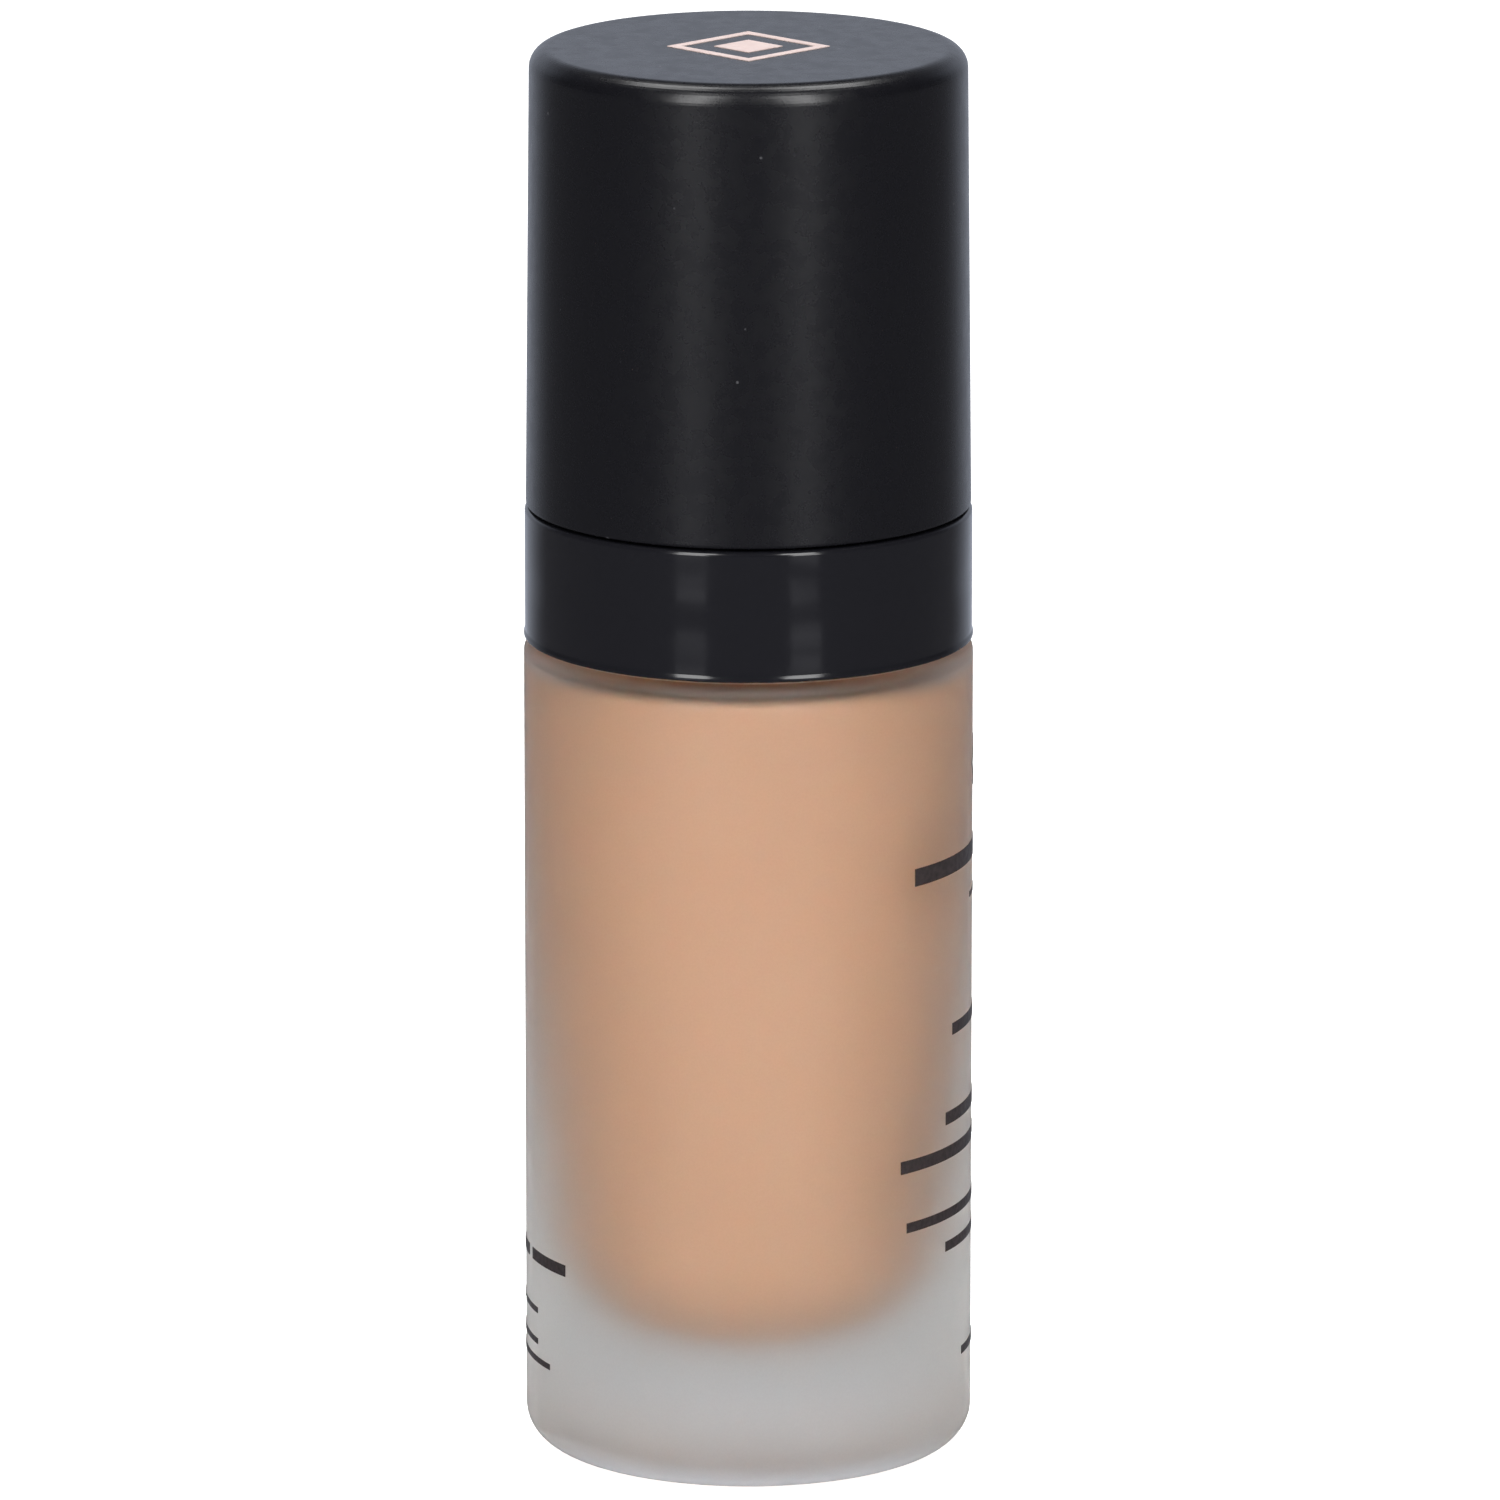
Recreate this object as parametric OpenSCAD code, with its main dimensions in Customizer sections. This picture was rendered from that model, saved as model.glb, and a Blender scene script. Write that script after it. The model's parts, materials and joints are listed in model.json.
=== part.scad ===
// Pump foundation bottle: thick frosted glass, a screw-on treatment pump and a pull-off overcap.
// Millimetres. +Z is up, the origin is the centre of the foot ring, and the printed front faces -Y.

/* [Bottle] */
// Outer diameter of the glass body
bottle_d = 37.6; // [37.2:0.1:38]
// Height of the glass body, from the foot ring to the flat of the shoulder
bottle_h = 69.4; // [67:0.1:72]
// Radius of the rounded heel
heel_r = 3; // [2:0.5:4]
// Radius of the rounded shoulder edge
shoulder_r = 1.2; // [0.8:0.1:2]
// Thickness of the heavy glass base
base_t = 10.2; // [8:0.1:11]
// Diameter that the cavity's tapered wall reaches at its floor
cavity_low_d = 21.8; // [21:0.2:23]
// Diameter of the cavity under the shoulder
cavity_high_d = 32; // [31:0.2:32.6]
// Radius between the cavity's wall and its bowl-shaped floor
cavity_floor_r = 8.4; // [6:0.2:9]
// Thickness of the glass over the shoulder
shoulder_t = 1.2; // [1:0.1:1.8]
// Gap between the foundation's surface and the top of the cavity
fill_gap = 0.2; // [0.2:0.1:6]

/* [Neck finish] */
// Outer diameter of the neck between the threads
neck_d = 17.5; // [17.3:0.1:17.7]
// Outer diameter over the threads
thread_d = 19.7; // [19.5:0.1:19.9]
// Height of the neck above the shoulder
neck_h = 8.8; // [8.6:0.1:8.9]
// Diameter of the neck's bore
bore_d = 12; // [11.8:0.1:12.4]
// Rise of the thread in one turn
pitch = 3.175; // [3:0.025:3.3]

/* [Collar] */
// Outer diameter of the glossy collar
collar_d = 37.4; // [37:0.1:37.6]
// Height of the collar's visible band
collar_h = 11; // [10.5:0.1:11.5]
// Step of the fine lip round the collar's foot
collar_lip = 0.1; // [0.06:0.02:0.16]
// Gap between the glass shoulder and the collar
collar_gap = 0.2; // [0.1:0.1:0.5]
// Outer diameter of the plug that the overcap grips
plug_d = 31.2; // [30.8:0.1:31.4]
// Height of the plug above the band
plug_h = 7.9; // [7.4:0.1:8.2]

/* [Overcap] */
// Height of the overcap
cap_h = 38.6; // [37:0.1:43]
// Outer diameter at the mouth
cap_mouth_d = 37.2; // [37:0.1:37.4]
// Outer diameter at the top
cap_top_d = 36.4; // [36.2:0.1:37]
// Radius of the top edge
cap_edge_r = 1.7; // [1:0.1:2]
// Wall of the outer shell
cap_wall = 1.2; // [1:0.1:1.3]
// Width of the foil emblem across its corners
emblem_w = 13.5; // [8:0.5:20]

/* [Pump] */
// Travel of the actuator from rest to fully pressed
stroke = 4.5; // [3:0.5:4.5]
// Travel of the stem before it picks the piston up
lost_motion = 0.7; // [0.5:0.1:0.7]
// Bore of the pump chamber
chamber_d = 9; // [8.8:0.1:9.2]
// Outer diameter of the stem
stem_d = 4.8; // [4.6:0.1:4.8]
// Outer diameter of the dip tube
dip_tube_d = 3.4; // [3.2:0.1:3.6]
// Diameter of the inlet ball
ball_d = 3; // [2.8:0.1:3]
// Diameter of the spring wire
wire_d = 0.6; // [0.4:0.1:0.6]

/* [Actuator] */
// Outer diameter of the actuator
actuator_d = 18.4; // [17:0.1:18.6]
// Height of the actuator's top above the bottle's shoulder
actuator_rise = 38.6; // [36.5:0.1:41]
// Height of the spout's axis above the bottle's shoulder
spout_rise = 30.7; // [29.5:0.1:31.2]
// Distance from the pump's axis to the spout's tip
spout_reach = 13.6; // [12:0.2:14]

/* [Hidden] */
$fn = 96;

// Clearances
slip = 0.05;
press = 0.02;
loose = 0.3;

// Bottle
bottle_r = bottle_d / 2;
foot_in_r = 13.4;
push_up = 0.8;
cavity_shoulder_r = 1.2;
cavity_top_z = bottle_h - shoulder_t - 0.6;
fill_z = cavity_top_z - fill_gap;
neck_r = neck_d / 2;
bore_r = bore_d / 2;
lip_z = bottle_h + neck_h;
sticker_r = 12;
sticker_t = 0.15;
ink_t = 0.05;

// Threads: ridge on the neck, and ridge inside the closure that runs in its groove
neck_ridge_w = [2.2, 0.9];
closure_ridge_w = [1.3, 0.5];
neck_ridge_turns = 1.5;
closure_ridge_turns = 1.25;
ridge_start_z = bottle_h + 1.9;
flank_shift = 0.25;
ridge_run_in = 45;
ridge_steps_per_turn = 40;

// Stack on the lip: gasket, housing flange, closure deck
gasket_t = 1;
flange_z = lip_z + gasket_t;
flange_t = 1.2;
flange_r = 9.4;
deck_z = flange_z + flange_t;
deck_t = 1.3;
deck_hole_r = 8.4;
lip_t = 0.5;
lip_gap = 0.1;

// Closure and collar
closure_r = 12.4;
closure_bottom_z = bottle_h + 0.6;
closure_bore_r = thread_d / 2 + loose;
collar_r = collar_d / 2;
collar_z = bottle_h + collar_gap;
band_top_z = collar_z + collar_h;
collar_wall = 1.4;
plug_r = plug_d / 2;
plug_wall = 1.2;
plug_top_z = band_top_z + plug_h;
bead_r = plug_r + 0.25;
bead_z = band_top_z + 3.4;
actuator_hole_r = actuator_d / 2 + 0.5;
web_count = 8;
web_t = 1;

// Overcap
cap_z = band_top_z + 0.2;
cap_top_z = cap_z + cap_h;
liner_r = cap_top_d / 2 - cap_wall - 0.1;
liner_rib_r = bead_r + slip;
liner_in_r = liner_rib_r + 0.1;
liner_rib_h = 6.5;
liner_ribs = 12;
liner_top_z = cap_top_z - 1.4;
liner_top_t = 1;
foil_t = 0.05;

// Pump chamber; its heights are measured from the bottle's shoulder, under which the pump hangs
chamber_r = chamber_d / 2;
housing_r = chamber_r + 0.9;
chamber_floor_z = bottle_h - 16.8;
ball_r = ball_d / 2;
ball_room_r = ball_r + 0.4;
seat_low = [1.1, bottle_h - 21.2];
seat_slope = 0.8;
seat_high_z = seat_low.y + (ball_room_r - seat_low.x) / seat_slope;
ball_lift = 0.8;
ball_z = seat_low.y - (seat_low.x - (ball_r + 0.03) * sqrt(1 + seat_slope * seat_slope)) / seat_slope;
nub_z = ball_z + ball_lift + sqrt(ball_r * ball_r - seat_low.x * seat_low.x) + slip;
socket_z = bottle_h - 28.3;
socket_r = 3;
tube_r = dip_tube_d / 2;
tube_bore_r = tube_r - 0.6;
tube_top_z = bottle_h - 22.1;
tube_end_z = base_t + 1.2;
vent_r = 0.35;

// Plunger, from the spring up
stem_r = stem_d / 2;
stem_bore_r = 1.25;
stem_top_z = bottle_h + 27.2;
retainer_plug_z = bottle_h + 4.7;
stop_r = 3.3;
stop_t = 1;
stop_z = retainer_plug_z - 0.1 - stop_t;
piston_top_z = stop_z - lost_motion;
piston_h = 5.2;
piston_z = piston_top_z - piston_h;
stem_end_z = piston_z + 0.7;
rod_bead_r = 3.2;
spring_flange_r = 3.7;
spring_top_z = bottle_h - 5.8;
spring_r = 3.3;
spring_turns = 7;
dead_turns = 1;
wire_sides = 8;
wire_steps_per_turn = 20;

// Actuator
actuator_r = actuator_d / 2;
actuator_top_z = bottle_h + actuator_rise;
spout_z = bottle_h + spout_rise;
actuator_wall = 1.3;
actuator_z = plug_top_z - 0.8;
core_r = actuator_r - actuator_wall - press;
core_z = bottle_h + 20.2;
core_top_z = actuator_top_z - 1.4 - press;
core_socket_r = 3.9;
spout_root_r = 2.7;
spout_tip_r = 2.2;
spout_bore_r = 1.1;
dish_depth = 0.7;
dish_rim_r = actuator_r - 1.8;
tower_r = 4;
tower_top_z = bottle_h + 15.2;

// Print: rows as [height of the middle, ink height, [[start, length], ...] in mm of arc from the middle]
front_rows = [
    [51.6, 1.5, [[-14, 28]]],
    [47.9, 0.45, [[-3.4, 6.8]]],
    [37.4, 1, [[-8.2, 9], [2.2, 6]]],
    [29.9, 1.1, [[-9.4, 18.8]]],
    [26.9, 1.1, [[-15.6, 14.2], [0.2, 15.4]]],
    [21.6, 0.85, [[-14.9, 15.4], [2, 12.9]]],
    [18.8, 0.85, [[-9.4, 18.8]]],
    [8.9, 0.7, [[-5.8, 6.4], [2.1, 3.7]]]
];
back_rows = [
    [17.2, 1, [[-11.6, 4], [-6.4, 4.8], [0.2, 3.6], [5, 6.6]]],
    [12.5, 0.5, [[-6.4, 7.2], [1.8, 4.6]]],
    [9.8, 0.5, [[-6.4, 4.2], [-1.4, 7.8]]],
    [8.2, 0.5, [[-9, 18]]]
];
front_angle = -90;
back_angle = 90;
front_mark_z = 58.8;
front_mark_w = 4.4;

// ---- Outlines ----

function unit(v) = v / norm(v);

// Points that round one corner of an outline
function corner_points(before, at, after, radius) =
    let (
        u = unit(before - at),
        v = unit(after - at),
        half = acos(u * v) / 2,
        centre = at + unit(u + v) * radius / sin(half),
        first = at + u * radius / tan(half) - centre,
        last = at + v * radius / tan(half) - centre,
        start = atan2(first.y, first.x),
        sweep = (atan2(last.y, last.x) - start + 540) % 360 - 180,
        steps = ceil(3 + 5 * radius)
    )
    [for (i = [0:steps]) centre + radius * [cos(start + sweep * i / steps), sin(start + sweep * i / steps)]];

// A closed outline from corners [x, y] or, where the corner is rounded, [x, y, radius]
function outline(corners) = [
    for (i = [0:len(corners) - 1])
        let (
            n = len(corners),
            p = corners[i],
            a = corners[(i + n - 1) % n],
            b = corners[(i + 1) % n]
        )
        each (len(p) == 2 ? [p] : corner_points([a.x, a.y], [p.x, p.y], [b.x, b.y], p.z))
];

module turned(corners) {
    rotate_extrude() polygon(outline(corners));
}

module ring(outer_r, inner_r, z, h) {
    rotate_extrude() translate([inner_r, z]) square([outer_r - inner_r, h]);
}

// A solid through a chain of rings that each have the same number of points
module sweep(rings) {
    sides = len(rings[0]);
    last = len(rings) - 1;
    walls = [
        for (i = [0:last - 1], j = [0:sides - 1])
            let (k = (j + 1) % sides, low = i * sides, high = low + sides)
            each [[low + j, high + k, high + j], [low + j, low + k, high + k]]
    ];
    ends = [[for (j = [sides - 1:-1:0]) j], [for (j = [0:sides - 1]) last * sides + j]];
    polyhedron(points = [for (r = rings) each r], faces = concat(walls, ends), convexity = 8);
}

// A helical ridge from wall_r to tip_r that grows out of the wall at both ends
module helical_ridge(wall_r, tip_r, widths, start_z, start_angle, turns) {
    outward = tip_r > wall_r;
    root_r = wall_r + (outward ? -0.35 : 0.35);
    hidden_r = wall_r + (outward ? -0.1 : 0.1);
    steps = ceil(turns * ridge_steps_per_turn);
    sweep([
        for (i = [0:steps])
            let (
                turned_by = turns * 360 * i / steps,
                grown = min(1, turned_by / ridge_run_in, (turns * 360 - turned_by) / ridge_run_in),
                tip = hidden_r + (tip_r - hidden_r) * grown,
                z = start_z + pitch * turned_by / 360,
                a = start_angle + turned_by,
                section = [
                    [root_r, z - widths[0] / 2],
                    [tip, z - widths[1] / 2],
                    [tip, z + widths[1] / 2],
                    [root_r, z + widths[0] / 2]
                ],
                loop = outward ? section : [for (k = [3:-1:0]) section[k]]
            )
            [for (p = loop) [p[0] * cos(a), p[0] * sin(a), p[1]]]
    ]);
}

// ---- Bottle ----

module glass_bottle() {
    color([0.80, 0.83, 0.81]) union() {
        turned([
            [0, push_up],
            [foot_in_r - 0.9, push_up, 0.6],
            [foot_in_r, 0, 0.3],
            [bottle_r, 0, heel_r],
            [bottle_r, bottle_h, shoulder_r],
            [neck_r, bottle_h, 0.6],
            [neck_r, lip_z, 0.4],
            [bore_r, lip_z, 0.3],
            [bore_r, bottle_h - shoulder_t, 1.2],
            [cavity_high_d / 2, cavity_top_z, cavity_shoulder_r],
            [cavity_low_d / 2, base_t, cavity_floor_r],
            [0, base_t]
        ]);
        helical_ridge(neck_r, thread_d / 2, neck_ridge_w, ridge_start_z, 0, neck_ridge_turns);
    }
}

// The cavity's wall radius at a height between its two rounded corners
function cavity_r(z) =
    cavity_low_d / 2 + (cavity_high_d - cavity_low_d) / 2 * (z - base_t) / (cavity_top_z - base_t);

// The liquid stands off the pump, which can be drawn up through it, and is bevelled under the shoulder
module foundation_fill() {
    rim_bevel = 1.4;
    rim_z = fill_z - rim_bevel;
    color([0.82, 0.63, 0.50]) turned([
        [0, base_t + press],
        [cavity_low_d / 2 - press, base_t + press, cavity_floor_r],
        [cavity_r(rim_z) - press, rim_z],
        [cavity_r(rim_z) - rim_bevel, fill_z],
        [housing_r + loose, fill_z],
        [housing_r + loose, chamber_floor_z - 1.8],
        [socket_r + loose, seat_low.y - 0.4],
        [socket_r + loose, socket_z - loose],
        [tube_r + loose, socket_z - loose],
        [tube_r + loose, tube_end_z - loose],
        [0, tube_end_z - loose]
    ]);
}

module base_sticker() {
    color("white") translate([0, 0, push_up - sticker_t]) cylinder(r = sticker_r, h = sticker_t);
}

// Bars of ink on the glass, one row for each line of print
module ink_rows(rows, middle_angle) {
    degrees_per_mm = 360 / (PI * bottle_d);
    for (row = rows, bar = row[2])
        rotate(middle_angle + bar[0] * degrees_per_mm)
            rotate_extrude(angle = bar[1] * degrees_per_mm)
                translate([bottle_r, row[0] - row[1] / 2]) square([ink_t, row[1]]);
}

module front_print() {
    color([0.16, 0.15, 0.16]) {
        ink_rows(front_rows, front_angle);
        intersection() {
            ring(bottle_r + ink_t, bottle_r, front_mark_z - front_mark_w, 2 * front_mark_w);
            translate([0, 0, front_mark_z]) rotate([90, 0, 0]) linear_extrude(bottle_r + 1) difference() {
                lozenge(front_mark_w);
                lozenge(front_mark_w - 1.1);
            }
        }
    }
}

module back_print() {
    color([0.16, 0.15, 0.16]) ink_rows(back_rows, back_angle);
}

// ---- Pump engine ----

module neck_gasket() {
    color("whitesmoke") ring(flange_r, bore_r + 0.1, lip_z, gasket_t);
}

module pump_housing() {
    color([0.93, 0.94, 0.93]) difference() {
        turned([
            [chamber_r, deck_z],
            [chamber_r, chamber_floor_z],
            [ball_room_r, chamber_floor_z],
            [ball_room_r, seat_high_z],
            seat_low,
            [seat_low.x, tube_top_z],
            [tube_r + press, tube_top_z],
            [tube_r + press, socket_z],
            [socket_r, socket_z, 0.3],
            [socket_r, seat_low.y - 0.1, 0.8],
            [housing_r, chamber_floor_z - 1.5, 0.5],
            [housing_r, flange_z],
            [flange_r, flange_z],
            [flange_r, deck_z]
        ]);
        translate([0, 0, stop_z + stop_t / 2]) rotate([0, 90, 0]) cylinder(r = vent_r, h = housing_r + 1);
    }
    color([0.93, 0.94, 0.93]) for (a = [0:120:240])
        rotate(a) translate([seat_low.x, -0.4, nub_z]) cube([ball_room_r + 0.3 - seat_low.x, 0.8, 0.7]);
}

// Plugs the chamber, guides the stem, and holds the closure's deck under a snap-over lip
module pump_retainer() {
    lip_z_low = deck_z + deck_t + lip_gap;
    color([0.93, 0.94, 0.93]) turned([
        [stem_r + slip, tower_top_z],
        [stem_r + slip, tower_top_z - 1.5],
        [stem_r + 0.4, tower_top_z - 2.2],
        [stem_r + 0.4, retainer_plug_z],
        [chamber_r - press, retainer_plug_z, 0.3],
        [chamber_r - press, deck_z],
        [deck_hole_r - loose, deck_z],
        [deck_hole_r - loose, lip_z_low],
        [deck_hole_r + 0.6, lip_z_low],
        [deck_hole_r + 0.6, lip_z_low + lip_t, 0.3],
        [deck_hole_r - 1.2, lip_z_low + lip_t],
        [deck_hole_r - 1.6, deck_z + 1.1],
        [tower_r, deck_z + 1.1, 0.3],
        [tower_r, tower_top_z, 0.4]
    ]);
}

module dip_tube() {
    color([0.9, 0.92, 0.92]) difference() {
        ring(tube_r, tube_bore_r, tube_end_z, tube_top_z - tube_end_z);
        translate([0, 0, tube_end_z]) rotate([0, 30, 0]) translate([-5, -5, -10]) cube([10, 10, 10.6]);
    }
}

module inlet_ball() {
    color("silver") translate([0, 0, ball_z]) sphere(r = ball_r);
}

// Height of the wire's centre after a number of turns, with closed turns at both ends
function wire_z(turn) =
    let (
        closed_pitch = wire_d * 1.08,
        low = chamber_floor_z + wire_d / 2 + press,
        high = spring_top_z - wire_d / 2 - press,
        open_pitch = (high - low - 2 * dead_turns * closed_pitch) / (spring_turns - 2 * dead_turns)
    )
    turn < dead_turns ? low + turn * closed_pitch
        : turn > spring_turns - dead_turns ? high - (spring_turns - turn) * closed_pitch
        : low + dead_turns * closed_pitch + (turn - dead_turns) * open_pitch;

module return_spring() {
    color("silver") sweep([
        for (i = [0:spring_turns * wire_steps_per_turn])
            let (turn = i / wire_steps_per_turn, a = 360 * turn)
            [
                for (j = [0:wire_sides - 1])
                    let (b = -360 * j / wire_sides, r = spring_r + wire_d / 2 * cos(b))
                    [r * cos(a), r * sin(a), wire_z(turn) - wire_d / 2 * sin(b)]
            ]
    ]);
}

module piston() {
    color("white") turned([
        [stem_r + slip, piston_top_z - 0.8],
        [stem_r + slip, piston_z + 0.9],
        [rod_bead_r - 0.5, piston_z],
        [rod_bead_r + 0.3, piston_z],
        [rod_bead_r + 0.3, piston_z + 1.6, 0.3],
        [chamber_r - 0.4, piston_z + 0.3],
        [chamber_r - press, piston_z + 0.3],
        [chamber_r - press, piston_z + 1.3],
        [chamber_r - 0.35, piston_z + 2.2],
        [chamber_r - 0.35, piston_top_z - 1.4],
        [chamber_r - press, piston_top_z - 0.9],
        [chamber_r - press, piston_top_z],
        [chamber_r - 0.4, piston_top_z],
        [chamber_r - 0.7, piston_top_z - 1.2, 0.2],
        [stop_r, piston_top_z - 1.2, 0.2],
        [stop_r - 0.1, piston_top_z],
        [stem_r + 0.35, piston_top_z]
    ]);
}

// Solid rod under the stem: spigot with flow grooves, valve bead, spring flange and spring guide
module piston_rod() {
    guide_r = spring_r - wire_d / 2 - 0.3;
    color("white") difference() {
        turned([
            [0, spring_top_z - 3],
            [guide_r - 0.6, spring_top_z - 3],
            [guide_r, spring_top_z - 2],
            [guide_r, spring_top_z],
            [spring_flange_r, spring_top_z],
            [spring_flange_r, spring_top_z + 0.8, 0.2],
            [guide_r - 0.4, spring_top_z + 1.4, 0.4],
            [guide_r - 0.4, piston_z - 1.2, 0.3],
            [rod_bead_r, piston_z - 0.5, 0.1],
            [rod_bead_r - 0.6, piston_z - 0.1, 0.1],
            [stem_bore_r - press, piston_z - 0.1],
            [stem_bore_r - press, stem_end_z + 4.6, 0.2],
            [0, stem_end_z + 4.6]
        ]);
        for (a = [0:120:240])
            rotate(a) translate([0.7, -0.35, piston_z]) cube([1, 0.7, 8]);
    }
}

module pump_stem() {
    color("white") difference() {
        turned([
            [stem_bore_r, stem_end_z],
            [stem_r, stem_end_z, 0.2],
            [stem_r, stop_z],
            [stop_r, stop_z],
            [stop_r, stop_z + stop_t, 0.2],
            [stem_r, stop_z + stop_t],
            [stem_r, stem_top_z, 0.3],
            [stem_bore_r, stem_top_z]
        ]);
        for (a = [0, 90])
            rotate(a) translate([-stem_r - 1, -0.4, stem_end_z - 1]) cube([2 * stem_r + 2, 0.8, 2.2]);
    }
}

// ---- Closure and collar ----

module screw_closure() {
    color([0.10, 0.10, 0.11]) union() {
        turned([
            [closure_bore_r, deck_z],
            [closure_bore_r, closure_bottom_z, 0.3],
            [closure_r, closure_bottom_z, 0.3],
            [closure_r, deck_z + deck_t, 0.6],
            [deck_hole_r, deck_z + deck_t, 0.2],
            [deck_hole_r, deck_z]
        ]);
        helical_ridge(
            closure_bore_r, neck_r + loose - slip, closure_ridge_w,
            ridge_start_z + flank_shift, 180, closure_ridge_turns
        );
    }
}

module collar_shroud() {
    web_in_r = closure_r + press;
    step_t = 1.4;
    deck_low_z = plug_top_z - 1.4;
    color([0.11, 0.11, 0.125]) {
        turned([
            [collar_r - collar_wall, collar_z, 0.2],
            [collar_r + collar_lip, collar_z, 0.15],
            [collar_r + collar_lip, collar_z + 0.3, 0.1],
            [collar_r, collar_z + 0.55, 0.3],
            [collar_r, band_top_z, 0.35],
            [plug_r, band_top_z, 0.2],
            [plug_r, bead_z - 0.5],
            [bead_r, bead_z - 0.15, 0.15],
            [bead_r, bead_z + 0.15, 0.15],
            [plug_r, bead_z + 0.6],
            [plug_r, plug_top_z, 0.8],
            [actuator_hole_r, plug_top_z, 0.3],
            [actuator_hole_r, deck_low_z - 1.8, 0.2],
            [actuator_hole_r + 1, deck_low_z - 1.8, 0.2],
            [actuator_hole_r + 1, deck_low_z, 0.4],
            [plug_r - plug_wall, deck_low_z, 0.4],
            [plug_r - plug_wall, band_top_z - step_t, 0.3],
            [collar_r - collar_wall, band_top_z - step_t, 0.4]
        ]);
        for (i = [0:web_count - 1])
            rotate((i + 0.5) * 360 / web_count) difference() {
                union() {
                    translate([web_in_r - 1, -web_t / 2, collar_z + 2])
                        cube([collar_r - collar_wall + 0.4 - web_in_r + 1, web_t, collar_h - step_t - 1.6]);
                    translate([web_in_r - 1, -web_t / 2, band_top_z - step_t - 0.4])
                        cube([plug_r - plug_wall + 0.4 - web_in_r + 1, web_t, 3]);
                }
                cylinder(r = web_in_r, h = cap_top_z);
            }
    }
}

// ---- Actuator ----

// Inner body: stem socket, flow channel, spout and the skirt that the outer shell is pressed on
module actuator_core() {
    color([0.10, 0.10, 0.11]) difference() {
        union() {
            turned([
                [0, spout_z - 1.5],
                [core_socket_r, spout_z - 1.5],
                [core_socket_r, core_top_z - 1.2, 0.5],
                [core_r - 1.1, core_top_z - 1.2, 0.5],
                [core_r - 1.1, core_z + 3],
                [core_r, core_z + 3, 0.3],
                [core_r, core_top_z, 0.3],
                [0, core_top_z]
            ]);
            translate([0, 0, core_z]) cylinder(r = core_socket_r, h = spout_z - core_z);
            translate([0, 0, spout_z]) rotate([90, 0, 0]) {
                cylinder(r = spout_root_r, h = actuator_r + 0.6);
                translate([0, 0, actuator_r + 0.6])
                    cylinder(r1 = spout_root_r, r2 = spout_tip_r, h = spout_reach - actuator_r - 0.6);
            }
        }
        translate([0, 0, core_z - 1]) cylinder(r = stem_r + press, h = stem_top_z - core_z + 1 + press);
        translate([0, 0, core_z]) cylinder(r = stem_bore_r, h = spout_z - core_z);
        translate([0, 0, spout_z]) sphere(r = stem_bore_r);
        translate([0, 0, spout_z]) rotate([90, 0, 0]) cylinder(r = spout_bore_r, h = spout_reach + 1);
        translate([0, 0, spout_z]) rotate([90, 0, 0]) translate([0, 0, spout_reach - 0.5])
            cylinder(r1 = spout_bore_r, r2 = spout_bore_r + 0.6, h = 0.6);
    }
}

module actuator_shell() {
    dish_r = (dish_rim_r * dish_rim_r + dish_depth * dish_depth) / (2 * dish_depth);
    color([0.09, 0.09, 0.10]) difference() {
        turned([
            [actuator_r - actuator_wall, actuator_z],
            [actuator_r, actuator_z, 0.3],
            [actuator_r, actuator_top_z, 1.2],
            [0, actuator_top_z],
            [0, core_top_z + press],
            [actuator_r - actuator_wall, core_top_z + press, 0.2]
        ]);
        translate([0, 0, actuator_top_z - dish_depth + dish_r]) sphere(r = dish_r);
        translate([0, 0, spout_z]) rotate([90, 0, 0]) cylinder(r = spout_root_r + press, h = actuator_r + 1);
    }
}

// ---- Overcap ----

module cap_shell() {
    mouth_r = cap_mouth_d / 2;
    top_r = cap_top_d / 2;
    color([0.10, 0.10, 0.11]) turned([
        [mouth_r - cap_wall, cap_z, 0.15],
        [mouth_r, cap_z, 0.3],
        [top_r, cap_top_z, cap_edge_r],
        [0, cap_top_z],
        [0, cap_top_z - 1.4 + press],
        [top_r - cap_wall, cap_top_z - 1.4 + press, 0.6]
    ]);
}

module cap_liner() {
    mouth_r = cap_mouth_d / 2;
    foot_r = mouth_r - cap_wall - 0.04;
    color([0.12, 0.12, 0.13]) {
        turned([
            [liner_in_r, cap_z + 0.15, 0.2],
            [foot_r, cap_z + 0.15, 0.1],
            [foot_r, cap_z + 1.6],
            [liner_r, cap_z + 2.2],
            [liner_r, liner_top_z, 0.8],
            [0, liner_top_z],
            [0, liner_top_z - liner_top_t],
            [liner_in_r, liner_top_z - liner_top_t, 0.6]
        ]);
        for (i = [0:liner_ribs - 1])
            rotate(i * 360 / liner_ribs) difference() {
                translate([liner_rib_r - 0.5, -0.4, cap_z + 0.8]) cube([0.9, 0.8, liner_rib_h]);
                cylinder(r = liner_rib_r, h = cap_top_z);
            }
    }
}

// A square of a given width across its corners, standing on one of them
module lozenge(width) {
    rotate(45) square(width / sqrt(2), center = true);
}

// A foil lozenge inside a lozenge frame
module cap_emblem() {
    color([0.86, 0.74, 0.70]) translate([0, 0, cap_top_z]) linear_extrude(foil_t) {
        difference() {
            lozenge(emblem_w);
            lozenge(emblem_w - 2.4);
        }
        lozenge(emblem_w * 0.42);
    }
}

glass_bottle();
foundation_fill();
base_sticker();
front_print();
back_print();
neck_gasket();
pump_housing();
pump_retainer();
dip_tube();
inlet_ball();
return_spring();
piston();
piston_rod();
pump_stem();
screw_closure();
collar_shroud();
actuator_core();
actuator_shell();
cap_shell();
cap_liner();
cap_emblem();
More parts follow.
